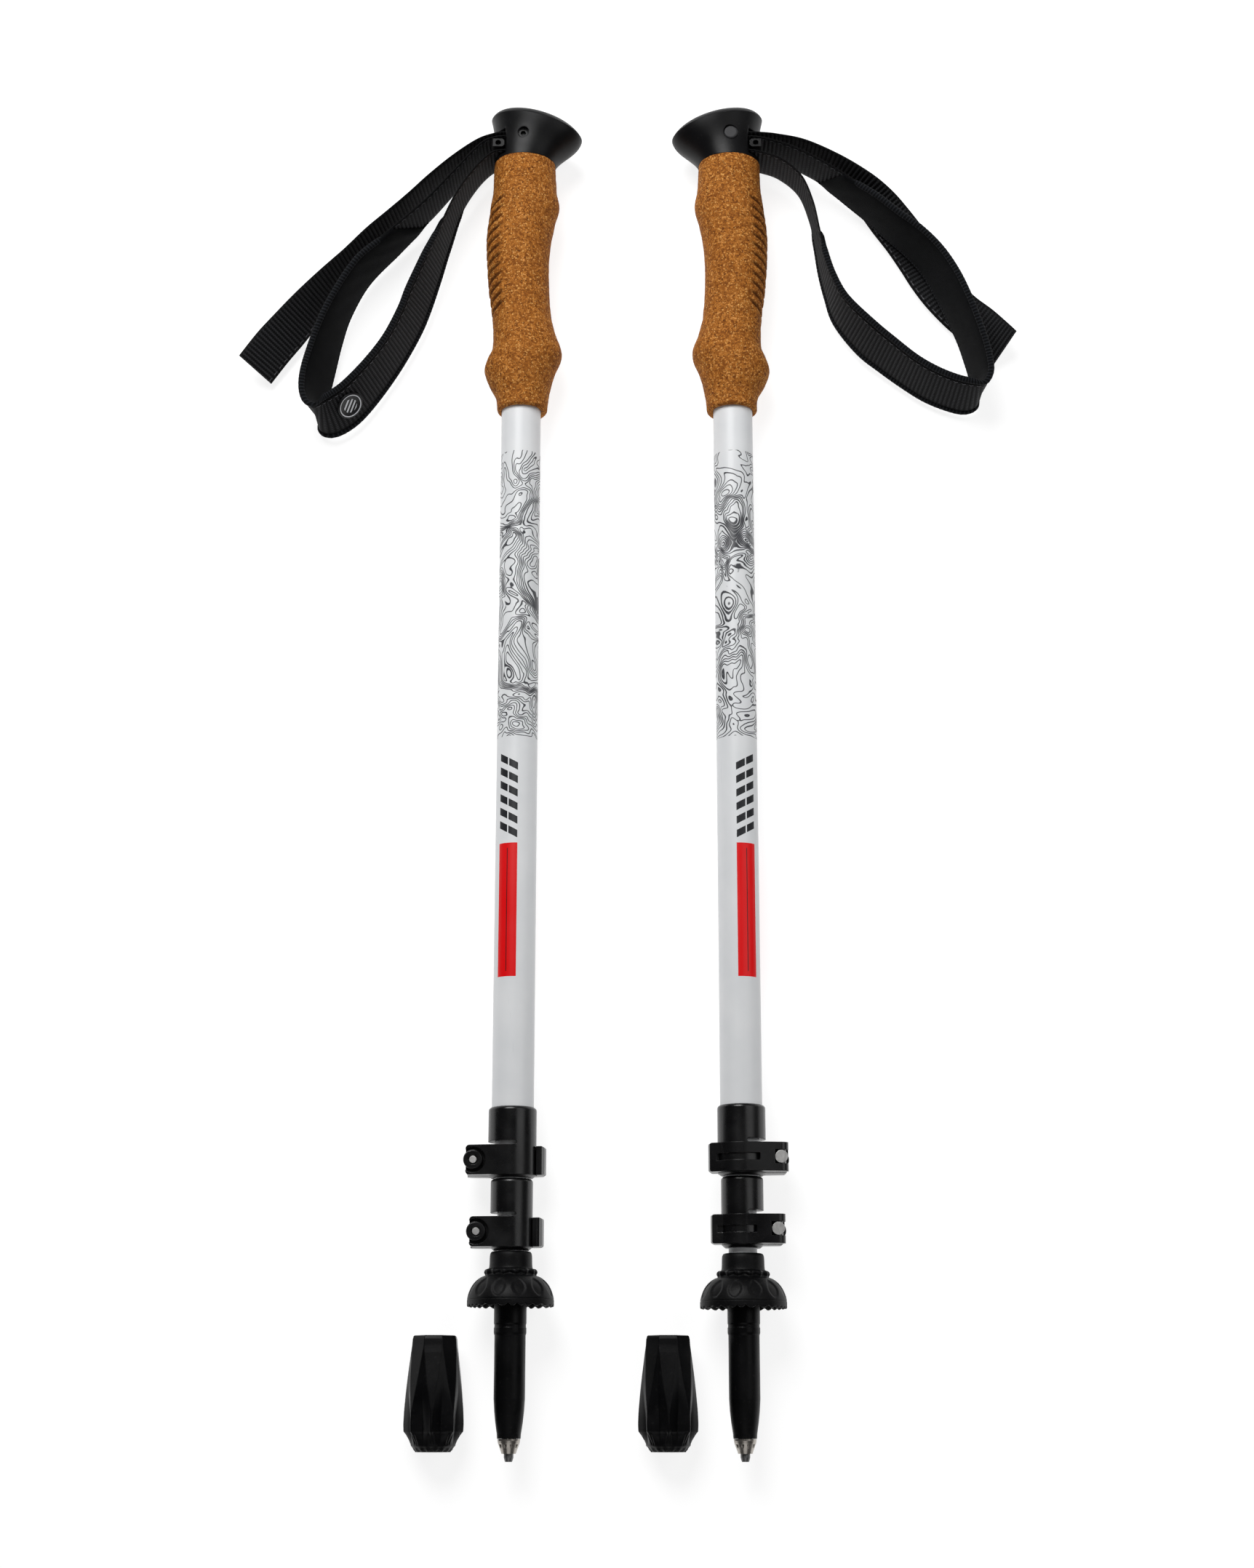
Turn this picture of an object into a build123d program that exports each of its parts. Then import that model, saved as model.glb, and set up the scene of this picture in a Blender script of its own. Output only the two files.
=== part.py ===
"""A pair of collapsed trekking poles lying on a surface, with their two rubber feet beside them.

Each pole is three telescoping tubes held by two lever locks. It has a cork grip under a
rubber head, a wrist strap round a pin in the head, a small trail basket and a carbide tip.

The pole is modelled in its own frame: X points from the strap side to the hook side of the
head, Y runs from the carbide tip (0) to the head, and Z points out of the side with the thumb
nuts. The left pole shows that side, and the right pole is turned over about its own axis.
"""
import os
from math import acos, atan2, cos, hypot, radians, sin, tan

from build123d import *

# ---- driving dimensions, mm ----
POLE_LENGTH = 618.0            # collapsed, carbide tip to the top of the head
POLE_SPACING = 97.4            # between the two pole axes
BASKET_RADIUS = 18.2
AXIS_HEIGHT = BASKET_RADIUS    # the poles rest on their baskets
FIT = 0.05                     # radial running clearance of a shaft in its hole
GAP = 0.35                     # between faces that pass each other

UPPER_TUBE_RADIUS = 9.0
MIDDLE_TUBE_RADIUS = 7.5
LOWER_TUBE_RADIUS = 6.0
TUBE_WALL = 0.7

GRIP_BOTTOM = 464.8
CORK_TOP = 590.5
CORE_FLANGE = (588.5, 591.5)
CORE_FLANGE_RADIUS = 11.0
CORE_SPIGOT_BOTTOM = 574.0

PIN_HEIGHT = 601.0             # strap pin, along Z through the head
PIN_RADIUS = 2.2
STRAP_WIDTH = 20.0
STRAP_THICKNESS = 1.4
PAD_WIDTH = 24.0
PAD_THICKNESS = 1.8
BADGE_RADIUS = 6.5
BADGE_THICKNESS = 0.8

MIDDLE_TUBE_SPAN = (102.4, 566.0)
LOWER_TUBE_SPAN = (30.0, 548.0)
BUSH_FLANGE = 4.0
BUSH_SPIGOT = 8.0

FERRULE_TOP = 83.0
FERRULE_RADIUS = 6.8
BASKET_TOP = 84.6
BASKET_BOTTOM = 61.6
FOOT_LENGTH = 47.0
FOOT_RADIUS = 12.5
FOOT_MOUTH_RADIUS = 9.5
FOOT_BORE_RADIUS = 6.6
FOOT_BORE_DEPTH = 36.0
FOOT_OFFSET = 31.6             # foot axis to the left of its pole's axis
FOOT_LOW = 3.8                 # sole of the foot, from the tip's height along the pole

# One lever lock: the band clamps the inner tube, and the sleeve above it holds the outer tube.
UPPER_LOCK = {
    "outer_tube": UPPER_TUBE_RADIUS, "inner_tube": MIDDLE_TUBE_RADIUS, "radius": 10.25,
    "low": 115.95, "band": (117.0, 129.5), "slot": (129.5, 131.3), "top": 145.8,
    "reach": 19.4, "bolt_x": -16.2, "tab_reach": 3.7,
}
LOWER_LOCK = {
    "outer_tube": MIDDLE_TUBE_RADIUS, "inner_tube": LOWER_TUBE_RADIUS, "radius": 8.95,
    "low": 85.9, "band": (87.2, 99.7), "slot": (99.7, 101.5), "top": 115.6,
    "reach": 17.4, "bolt_x": -14.5, "tab_reach": 4.25,
}
SLIT_HALF = 0.8                # half the split between the two ears
EAR_FRONT = 6.7                # outer face of the nut's ear at its end
EAR_BACK = 4.3                 # outer face of the lever's ear
NUT_SEAT = 4.2
NUT_RADIUS = 4.1
NUT_TOP = 8.2
BOLT_RADIUS = 1.5
BOLT_HEAD_RADIUS = 2.65
BOLT_HEAD_THICKNESS = 0.9
BARREL_RADIUS = 2.1
KNUCKLE_RADIUS = 3.1
BARREL_Z = -(EAR_BACK + KNUCKLE_RADIUS + GAP)
LEVER_THICKNESS = 2.0
LEVER_MARGIN = 0.2             # the lever is this much shorter than the band at each end
FORK_HALF = 2.9                # half the fork that straddles the bolt
SLOT_END_FRONT = 1.4           # how far the half slot runs in, on the nut's side
SLOT_END_BACK = -2.9           # and on the lever's side
LIP = 1.5                      # rounding of the sleeve's top edge
# How far each pole's locks and basket sit from the places above, along the pole.
LOCK_SHIFT = {"left": -0.5, "right": 0.5}
BASKET_SHIFT = {"left": 0.4, "right": -0.4}

# Cork sections: height, reach to the strap side, reach to the hook side, half depth.
CORK_SECTIONS = [
    (464.8, 11.1, 11.9, 11.5), (472.0, 11.7, 12.5, 12.0), (479.0, 15.2, 13.8, 13.6),
    (485.5, 17.2, 15.7, 14.6), (491.0, 15.8, 18.0, 14.9), (496.0, 13.7, 18.2, 14.5),
    (503.0, 13.4, 15.7, 13.8), (512.0, 14.0, 13.5, 13.5), (525.0, 15.7, 12.4, 13.7),
    (540.0, 16.9, 12.2, 14.0), (552.0, 17.2, 13.2, 14.2), (561.0, 16.5, 14.9, 14.4),
    (569.0, 15.5, 16.8, 14.4), (576.0, 14.5, 15.6, 14.2), (590.5, 14.0, 14.8, 14.0),
]

# Head sections: the (x, height) ends on the strap side and on the hook side, and half depth.
HEAD_SECTIONS = [
    ((-14.0, 590.5), (14.9, 590.5), 14.0),
    ((-13.9, 598.0), (17.3, 593.8), 14.1),
    ((-14.1, 605.5), (21.6, 597.4), 14.9),
    ((-15.0, 611.6), (25.9, 601.4), 16.2),
    ((-15.6, 614.4), (27.3, 604.2), 16.9),
]
HEAD_CROWN = [
    ((-15.6, 614.4), (27.3, 604.2), 16.9),
    ((-14.4, 616.0), (25.8, 606.4), 15.8),
    ((-9.6, 617.6), (19.0, 611.0), 11.2),
    ((-4.0, 618.0), (10.0, 615.2), 5.2),
]

# Strap routes in the pole's X-Y plane: tail end, over the pin and back out, round the wrist
# loop, and in again under the tail. Chosen by hand.
PIN_TURN = 3.3                 # radius of the webbing's middle line round the pin
LEFT_TAIL = [(-124.0, 489.0), (-104.0, 514.0), (-83.0, 538.0), (-62.0, 561.0),
             (-44.0, 580.0), (-30.0, 593.5), (-17.0, 601.9), (-8.0, 603.6)]
LEFT_LOOP = [(-8.0, 594.3), (-15.0, 593.4), (-23.0, 584.0), (-30.5, 571.0), (-37.0, 553.0),
             (-43.0, 534.0), (-51.0, 512.0), (-61.0, 492.0), (-72.5, 475.0), (-83.0, 464.5),
             (-92.5, 467.0), (-95.5, 480.0), (-92.5, 500.0), (-86.0, 521.0), (-76.0, 538.5),
             (-61.0, 553.5), (-45.0, 569.0), (-30.0, 586.5), (-19.0, 598.9), (-9.0, 601.4),
             (-4.8, 601.6)]
RIGHT_TAIL = [(-124.0, 500.0), (-115.0, 516.0), (-104.0, 535.0), (-90.0, 555.0),
              (-73.0, 574.0), (-53.0, 590.0), (-33.0, 600.0), (-17.0, 603.0), (-8.0, 603.6)]
RIGHT_LOOP = [(-8.0, 594.3), (-15.0, 593.6), (-24.0, 590.0), (-33.0, 581.0), (-38.0, 568.0),
              (-40.6, 554.0), (-42.0, 540.0), (-47.0, 523.0), (-55.0, 510.0), (-67.0, 498.0),
              (-81.0, 487.0), (-94.0, 478.0), (-104.5, 472.5), (-111.5, 476.5),
              (-112.5, 487.0), (-108.5, 505.0), (-101.0, 524.0), (-89.0, 545.0),
              (-75.0, 561.5), (-60.0, 576.0), (-45.0, 587.0), (-30.0, 595.5),
              (-17.5, 600.2), (-9.0, 601.3), (-4.8, 601.5)]
# The padding starts halfway along the run after its first point and ends halfway along
# the run before its last. The badge sits on one run, between two points.
LEFT_PAD = (3, 16)
RIGHT_PAD = (5, 20)
LEFT_BADGE_RUN = (8, 9)
RIGHT_BADGE_RUN = (15, 16)


# ---- helpers ----
def rod(radius, low, high, x=0.0, z=0.0):
    """A cylinder along the pole, between two heights."""
    return Pos(x, (low + high) / 2, z) * Rot(90, 0, 0) * Cylinder(radius, high - low)


def cross_rod(radius, low, high, x, height):
    """A cylinder along Z, at a place on the pole."""
    return Pos(x, height, (low + high) / 2) * Cylinder(radius, high - low)


def block(x_span, y_span, z_span):
    """A box between two corners."""
    spans = (x_span, y_span, z_span)
    centre = [(a + b) / 2 for a, b in spans]
    size = [b - a for a, b in spans]
    return Pos(*centre) * Box(*size)


def turned(profile):
    """A solid of revolution about the pole's axis, from (radius, height) corners."""
    return revolve(make_face(Polyline(*profile, close=True)), Axis.Y)


def tube(radius, low, high):
    """One thin tube of the pole."""
    return rod(radius, low, high) - rod(radius - TUBE_WALL, low - 1, high + 1)


def cross_section(strap_end, hook_end, half_depth):
    """An ellipse across the grip, given by its ends in the X-Y plane."""
    (x0, y0), (x1, y1) = strap_end, hook_end
    middle = ((x0 + x1) / 2, (y0 + y1) / 2, 0)
    along = Vector(x1 - x0, y1 - y0, 0).normalized()
    plane = Plane(origin=middle, x_dir=along, z_dir=Vector(-along.Y, along.X, 0))
    return plane * Ellipse(hypot(x1 - x0, y1 - y0) / 2, half_depth)


def extruded_along_pole(face_xz, low, high):
    """Extrude an outline drawn in (x, z) between two heights along the pole."""
    plane = Plane(origin=(0, low, 0), x_dir=(1, 0, 0), z_dir=(0, -1, 0))
    return extrude(plane * face_xz, amount=-(high - low))


# ---- grip ----
def cork_grip():
    rings = [cross_section((-strap, y), (hook, y), depth)
             for y, strap, hook, depth in CORK_SECTIONS]
    cork = loft(rings)
    cork -= rod(UPPER_TUBE_RADIUS + FIT, GRIP_BOTTOM - 1, CORK_TOP + 1)
    return cork - rod(CORE_FLANGE_RADIUS + FIT, CORE_FLANGE[0] - FIT, CORK_TOP + 1)


def grip_head():
    """The rubber head, with a notch on the strap side and a pocket round the strap pin."""
    head = loft([cross_section(*row) for row in HEAD_SECTIONS])
    head += loft([cross_section(*row) for row in HEAD_CROWN])
    head -= rod(CORE_FLANGE_RADIUS + FIT, CORK_TOP - 1, CORE_FLANGE[1] + FIT)
    notch = block((-30, -8.4), (592.2, 604.9), (-30, 30))
    pocket = block((-8.6, 4.6), (596.0, 606.4), (-10.8, 10.8))
    channel = block((-8.6, 2.4), (592.2, 597.0), (-10.8, 10.8))
    pin_hole = cross_rod(PIN_RADIUS, -30, 30, 0, PIN_HEIGHT)
    nut_recess = cross_rod(3.4, -30, -12.4, 0, PIN_HEIGHT)
    screw_recess = cross_rod(2.6, 13.2, 30, 0, PIN_HEIGHT)
    return head - notch - pocket - channel - pin_hole - nut_recess - screw_recess


def grip_core():
    """The plastic plug that joins the head to the upper tube."""
    spigot = rod(UPPER_TUBE_RADIUS - TUBE_WALL - FIT, CORE_SPIGOT_BOTTOM, CORE_FLANGE[0])
    return spigot + rod(CORE_FLANGE_RADIUS, *CORE_FLANGE)


def strap_pin():
    """The sleeve pin across the head, with its screwdriver socket on the thumb nut side."""
    pin = cross_rod(PIN_RADIUS - FIT, -10.6, 13.0, 0, PIN_HEIGHT)
    socket = Pos(0, PIN_HEIGHT, 13.0) * extrude(RegularPolygon(1.3, 6), amount=-1.6)
    return pin - socket - cross_rod(1.3, -11, -4, 0, PIN_HEIGHT)


def strap_pin_nut():
    """The domed cap screw that closes the pin on the lever side."""
    cap = cross_rod(3.3, -14.6, -12.5, 0, PIN_HEIGHT)
    cap = fillet(cap.edges().group_by(Axis.Z)[0], 0.9)
    return cap + cross_rod(1.25, -12.6, -5, 0, PIN_HEIGHT)


def strap_wedge():
    """The block that jams the webbing in the notch, with a round notch at each side."""
    wedge = block((-14.4, -8.9), (595.1, 599.2), (-11.4, 11.4))
    wedge = chamfer(wedge.edges().filter_by(Axis.Z).group_by(Axis.X)[-1], 1.0)
    for side in (-1, 1):
        low, high = sorted((side * 9.0, side * 12.0))
        wedge -= cross_rod(1.3, low, high, -11.8, 597.1)
    return wedge


# ---- strap ----
def corner_radii(points):
    """The largest tangent arcs that a polyline's corners leave room for."""
    radii = []
    for before, here, after in zip(points, points[1:], points[2:]):
        first = (here[0] - before[0], here[1] - before[1])
        second = (after[0] - here[0], after[1] - here[1])
        dot = first[0] * second[0] + first[1] * second[1]
        turn = acos(dot / (hypot(*first) * hypot(*second)))
        radii.append(0.45 * min(hypot(*first), hypot(*second)) / tan(turn / 2))
    return radii


def route_side(points, radii, offset):
    """Edges of a smoothed route moved sideways (to its left), as runs and tangent arcs."""
    corners = [Vector(x, y, 0) for x, y in points]
    edges = []
    start = None
    for index, (here, ahead) in enumerate(zip(corners, corners[1:])):
        along = (ahead - here).normalized()
        left = Vector(-along.Y, along.X, 0)
        if index == 0:
            start = here + left * offset
        if index == len(corners) - 2:
            edges.append(Line(start, ahead + left * offset))
            break
        after = (corners[index + 2] - ahead).normalized()
        after_left = Vector(-after.Y, after.X, 0)
        turn = radians(along.get_angle(after))
        radius = radii[index]
        trim = radius * tan(turn / 2)
        bend = 1 if along.cross(after).Z > 0 else -1
        centre = ahead - along * trim + left * (bend * radius)
        swept = radius - bend * offset
        arc_start = ahead - along * trim + left * offset
        arc_end = ahead + after * trim + after_left * offset
        arc_middle = centre - (left + after_left).normalized() * (bend * swept)
        edges.append(Line(start, arc_start))
        edges.append(ThreePointArc(arc_start, arc_middle, arc_end))
        start = arc_end
    return edges


def band_face(points, radii, thickness):
    """A band of even thickness along a smoothed route, as a face in the X-Y plane."""
    sides = [route_side(points, radii, offset) for offset in (thickness / 2, -thickness / 2)]
    ends = [Line(sides[0][0] @ 0, sides[1][0] @ 0), Line(sides[0][-1] @ 1, sides[1][-1] @ 1)]
    return make_face(sides[0] + sides[1] + ends)


def strap_route(tail, loop):
    """The whole webbing, with its turn round the pin between the tail and the loop."""
    turn = [(PIN_TURN, PIN_HEIGHT + PIN_TURN), (PIN_TURN, PIN_HEIGHT - PIN_TURN)]
    points = tail + turn + loop
    radii = corner_radii(points)
    first = len(tail) - 1
    radii[first] = PIN_TURN * 0.97
    radii[first + 1] = PIN_TURN * 0.97
    return points, radii


def standing(face, width):
    """Stand a band on its edge, centred on the pole's axis height."""
    return extrude(Pos(0, 0, -width / 2) * face, amount=width)


def strap_webbing(tail, loop):
    points, radii = strap_route(tail, loop)
    return standing(band_face(points, radii, STRAP_THICKNESS), STRAP_WIDTH)


def strap_padding(loop, pad):
    """The lining on the inside of the wrist loop."""
    first, last = pad
    ends = [tuple((a + b) / 2 for a, b in zip(loop[i], loop[i + 1])) for i in (first, last - 1)]
    padded = [ends[0]] + loop[first + 1:last] + [ends[1]]
    radii = corner_radii(loop)[first:last - 1]
    clear = STRAP_THICKNESS / 2 + 0.1
    wide = band_face(padded, radii, 2 * (clear + PAD_THICKNESS))
    narrow = band_face(padded, radii, 2 * clear)
    inside = make_face(route_side(padded, radii, 0) + [Line(padded[-1], padded[0])])
    return standing((wide & inside) - narrow, PAD_WIDTH)


def strap_badge(loop, run):
    """A plain round badge sewn to the outside of the loop, halfway along one run."""
    (x0, y0), (x1, y1) = loop[run[0]], loop[run[1]]
    along = Vector(x1 - x0, y1 - y0, 0).normalized()
    outward = Vector(-along.Y, along.X, 0)
    offset = STRAP_THICKNESS / 2 + 0.15
    middle = Vector((x0 + x1) / 2, (y0 + y1) / 2, 0) + outward * offset
    plane = Plane(origin=middle, x_dir=along, z_dir=outward)
    return extrude(plane * Circle(BADGE_RADIUS), amount=BADGE_THICKNESS)


# ---- lever lock ----
def ring_point(radius, angle):
    """The (x, z) point on a circle about the pole's axis."""
    return radius * cos(radians(angle)), radius * sin(radians(angle))


def tangent_point(corner, radius):
    """Where a line from an outside (x, z) corner touches the circle, on its +Z side."""
    angle = atan2(corner[1], corner[0]) - acos(radius / hypot(*corner))
    return radius * cos(angle), radius * sin(angle)


def lock_collar(lock):
    """Sleeve, half slot and split clamp band with two ears."""
    radius, reach = lock["radius"], lock["reach"]
    low, high = lock["band"]
    neck = radius - 1.5
    body = turned([(0, lock["low"]), (neck, lock["low"]), (radius, low), (radius, lock["top"]),
                   (0, lock["top"])])
    body = fillet(body.edges().group_by(Axis.Y)[-1], LIP)
    front_corner = (-reach, EAR_FRONT)
    front = make_face(Polyline((0, 0), (-reach, 0), front_corner,
                               tangent_point(front_corner, radius), close=True))
    back = make_face(Polyline((0, 0), (0, -EAR_BACK), (-reach, -EAR_BACK), (-reach, 0), close=True))
    ears = extruded_along_pole(front, low, high) + extruded_along_pole(back, low, high)
    ears = fillet(ears.edges().filter_by(Axis.Z).group_by(Axis.X)[0], 1.6)
    body += ears
    body -= rod(lock["inner_tube"] + FIT, lock["low"] - 1, lock["top"] + 1)
    body -= rod(lock["outer_tube"] + FIT, lock["slot"][1] + 0.1, lock["top"] + 1)
    body -= block((-reach - 1, -2), (lock["low"] - 1, lock["slot"][1]), (-SLIT_HALF, SLIT_HALF))
    slot_middle, slot_half = sum(lock["slot"]) / 2, (lock["slot"][1] - lock["slot"][0]) / 2
    for end, span in ((SLOT_END_FRONT, (0, radius + 1)), (SLOT_END_BACK, (-radius - 1, 0))):
        body -= block((-radius - 1, end), lock["slot"], span)
        body -= cross_rod(slot_half, *span, end, slot_middle)
    middle = (low + high) / 2
    body -= cross_rod(BOLT_RADIUS + FIT, -EAR_BACK - 1, EAR_FRONT + 3, lock["bolt_x"], middle)
    return body - cross_rod(NUT_RADIUS + 1.2, NUT_SEAT, radius + 1, lock["bolt_x"], middle)


def lock_bolt(lock):
    middle = sum(lock["band"]) / 2
    head_face = BARREL_Z - KNUCKLE_RADIUS
    shank = cross_rod(BOLT_RADIUS, head_face + 0.2, NUT_TOP - 0.2, lock["bolt_x"], middle)
    return shank + cross_rod(BOLT_HEAD_RADIUS, head_face, head_face + BOLT_HEAD_THICKNESS,
                             lock["bolt_x"], middle)


def lock_barrel(lock):
    """The cross pin that the lever turns on, with the bolt through its middle."""
    low, high = lock["band"]
    barrel = rod(BARREL_RADIUS, low + LEVER_MARGIN, high - LEVER_MARGIN, lock["bolt_x"], BARREL_Z)
    return barrel - cross_rod(BOLT_RADIUS + 0.02, BARREL_Z - 5, BARREL_Z + 5, lock["bolt_x"],
                              (low + high) / 2)


def lock_nut(lock):
    middle = sum(lock["band"]) / 2
    x = lock["bolt_x"]
    nut = cross_rod(NUT_RADIUS, NUT_SEAT + FIT, NUT_TOP, x, middle)
    nut = chamfer(nut.edges().group_by(Axis.Z)[-1], 0.4)
    nut -= cross_rod(BOLT_RADIUS + FIT, NUT_SEAT - 1, NUT_TOP + 1, x, middle)
    return nut - cross_rod(BOLT_RADIUS + 0.7, NUT_TOP - 0.9, NUT_TOP + 1, x, middle)


def lock_lever(lock):
    """A curved lever: forked knuckle at the ear, arm round the band, finger tab at its end."""
    low, high = lock["band"][0] + LEVER_MARGIN, lock["band"][1] - LEVER_MARGIN
    middle, x = (low + high) / 2, lock["bolt_x"]
    inner = lock["radius"] + GAP
    outer = inner + LEVER_THICKNESS
    root = make_face(Polyline((x, BARREL_Z - KNUCKLE_RADIUS), ring_point(outer, 262),
                              ring_point(inner, 262), (x + 6.4, BARREL_Z + KNUCKLE_RADIUS - 0.2),
                              (x, BARREL_Z + KNUCKLE_RADIUS - 0.1), close=True))
    arm = make_face(Polyline((0, 0), ring_point(3 * outer, 250), ring_point(3 * outer, 300),
                             ring_point(3 * outer, 340), ring_point(3 * outer, 376), close=True))
    reach = inner + lock["tab_reach"]
    tab = make_face(Polyline((0, 0), ring_point(outer, 318), (reach - 0.5, -6.6),
                             (reach, -3.6), (reach - 0.6, 0.4), (reach - 1.7, 3.2),
                             close=True))
    tab = extruded_along_pole(tab, low, high)
    tab = fillet(tab.edges().filter_by(lambda edge: abs(edge.center().X) > reach - 0.65
                                       and abs(edge.center().Y - middle) > 4), 0.9)
    lever = extruded_along_pole(arm & Circle(outer), low, high)
    lever += tab
    lever += extruded_along_pole(root, low, high)
    lever += rod(KNUCKLE_RADIUS, low, high, x, BARREL_Z)
    lever -= rod(inner, low - 1, high + 1)
    lever -= rod(BARREL_RADIUS + FIT, low - 1, high + 1, x, BARREL_Z)
    lever -= rod(KNUCKLE_RADIUS + 1.2, middle - FORK_HALF, middle + FORK_HALF, x, BARREL_Z)
    groove = rod(outer + 5, middle - 1.5, middle + 1.5) - rod(outer - 0.7, middle - 2, middle + 2)
    groove &= block((x + 9, 11.0), (low, high), (-20, -6.4))
    return lever - groove


# ---- tubes and bushes ----
def guide_bush(outer_tube, inner_tube, tube_top):
    """The plastic bush on top of a sliding tube, which runs in the tube round it."""
    flange = rod(outer_tube - TUBE_WALL - FIT, tube_top, tube_top + BUSH_FLANGE)
    return flange + rod(inner_tube - TUBE_WALL - FIT, tube_top - BUSH_SPIGOT, tube_top)


# ---- tip ----
def tip_ferrule():
    """The plastic tip: threaded top for the basket, bead ring, and a nose round the steel."""
    profile = [(0, 9.2), (4.9, 9.2), (5.0, 11.0), (5.7, 15.6), (6.2, 20.2), (6.5, 25.0),
               (6.5, 50.8), (6.7, 51.2), (FERRULE_RADIUS, 51.8), (FERRULE_RADIUS, 53.6),
               (6.6, 54.2), (6.6, 55.0), (FERRULE_RADIUS, 55.6), (FERRULE_RADIUS, FERRULE_TOP),
               (0, FERRULE_TOP)]
    ferrule = turned(profile)
    ferrule -= rod(LOWER_TUBE_RADIUS + FIT, LOWER_TUBE_SPAN[0], FERRULE_TOP + 1)
    return ferrule - rod(3.0 + FIT, 9.0, 21.0)


def tip_sleeve():
    """The fluted steel sleeve that holds the carbide."""
    sleeve = turned([(0, 3.2), (3.0, 3.2), (3.3, 4.2), (4.5, 7.4), (4.7, 8.4), (4.7, 9.1),
                     (3.0, 9.1), (3.0, 20.8), (0, 20.8)])
    flutes = 10
    for index in range(flutes):
        sleeve -= Rot(0, index * 360 / flutes, 0) * rod(0.7, 3.0, 7.0, 4.4)
    return sleeve - rod(1.9 + 0.02, 3.0, 14.0)


def carbide_tip():
    """The hard tip, with a hollow ground end that bites."""
    return turned([(0, 0.5), (0.9, 0.0), (1.5, 0.0), (2.0, 1.7), (2.0, 3.0), (1.9, 3.3),
                   (1.9, 13.8), (0, 13.8)])


def basket():
    """Small dome basket with a scalloped flange, dimples and a toothed rim."""
    rim = BASKET_BOTTOM
    dome = ThreePointArc((10.2, 74.9), (15.7, 71.2), (BASKET_RADIUS, 64.6))
    under = ThreePointArc((BASKET_RADIUS - 1.3, 64.4), (14.2, 70.0), (9.4, 73.0))
    bore = FERRULE_RADIUS + FIT
    outline = [
        Polyline((bore, BASKET_TOP), (7.6, BASKET_TOP), (8.7, 83.4), (9.0, 82.0), (9.2, 77.2),
                 (10.2, 77.0), (10.2, 74.9)),
        dome,
        Polyline((BASKET_RADIUS, 64.6), (BASKET_RADIUS, rim), (BASKET_RADIUS - 1.3, rim),
                 (BASKET_RADIUS - 1.3, 64.4)),
        under,
        Polyline((9.4, 73.0), (bore, 73.0), (bore, BASKET_TOP)),
    ]
    edges = [edge for piece in outline for edge in piece.edges()]
    solid = revolve(make_face(edges), Axis.Y)
    scallops, dimples, teeth = 14, 12, 30
    for index in range(scallops):
        turn = Rot(0, index * 360 / scallops, 0)
        solid -= turn * Pos(10.6, 74.4, 0) * Rot(0, 90, 0) * Cylinder(1.1, 1.4)
    for index in range(dimples):
        turn = Rot(0, (index + 0.5) * 360 / dimples, 0)
        solid -= turn * Pos(15.9, 72.4, 0) * Rot(0, 0, -52) * Cylinder(1.5, 6.4)
    for index in range(teeth):
        turn = Rot(0, index * 360 / teeth, 0)
        solid -= turn * Pos(BASKET_RADIUS, rim, 0) * Rot(45, 0, 0) * Box(4.0, 1.5, 1.5)
    return solid


def rubber_foot():
    """The rubber tip protector, as a bell with a bore for the ferrule; sole at height 0."""
    foot = turned([(0, 0.0), (4.6, 0.0), (5.6, 1.6), (9.4, 2.6), (12.0, 7.4), (FOOT_RADIUS, 9.4),
                   (12.2, 12.6), (FOOT_MOUTH_RADIUS + 0.3, FOOT_LENGTH - 1.0),
                   (FOOT_MOUTH_RADIUS - 0.3, FOOT_LENGTH), (0, FOOT_LENGTH)])
    return foot - rod(FOOT_BORE_RADIUS, FOOT_LENGTH - FOOT_BORE_DEPTH, FOOT_LENGTH + 1)


# ---- assembly ----
def pole_pieces(side, tail, loop, pad, badge_run):
    """Every piece of one pole, by name, in the pole's own frame."""
    pieces = {
        "grip_head": grip_head(),
        "cork_grip": cork_grip(),
        "grip_core": grip_core(),
        "strap_pin": strap_pin(),
        "strap_pin_nut": strap_pin_nut(),
        "strap_wedge": strap_wedge(),
        "strap_webbing": strap_webbing(tail, loop),
        "strap_padding": strap_padding(loop, pad),
        "strap_badge": strap_badge(loop, badge_run),
        "upper_tube": tube(UPPER_TUBE_RADIUS, UPPER_LOCK["slot"][1] + 0.8, CORE_FLANGE[0]),
        "middle_tube": tube(MIDDLE_TUBE_RADIUS, *MIDDLE_TUBE_SPAN),
        "middle_guide_bush": guide_bush(UPPER_TUBE_RADIUS, MIDDLE_TUBE_RADIUS,
                                        MIDDLE_TUBE_SPAN[1]),
        "lower_tube": tube(LOWER_TUBE_RADIUS, *LOWER_TUBE_SPAN),
        "lower_guide_bush": guide_bush(MIDDLE_TUBE_RADIUS, LOWER_TUBE_RADIUS,
                                       LOWER_TUBE_SPAN[1]),
        "basket": Pos(0, BASKET_SHIFT[side], 0) * basket(),
        "tip_ferrule": tip_ferrule(),
        "tip_sleeve": tip_sleeve(),
        "carbide_tip": carbide_tip(),
    }
    shift = Pos(0, LOCK_SHIFT[side], 0)
    for name, lock in (("upper_lock", UPPER_LOCK), ("lower_lock", LOWER_LOCK)):
        pieces[name + "_collar"] = shift * lock_collar(lock)
        pieces[name + "_lever"] = shift * lock_lever(lock)
        pieces[name + "_bolt"] = shift * lock_bolt(lock)
        pieces[name + "_barrel"] = shift * lock_barrel(lock)
        pieces[name + "_nut"] = shift * lock_nut(lock)
    return pieces


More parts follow.
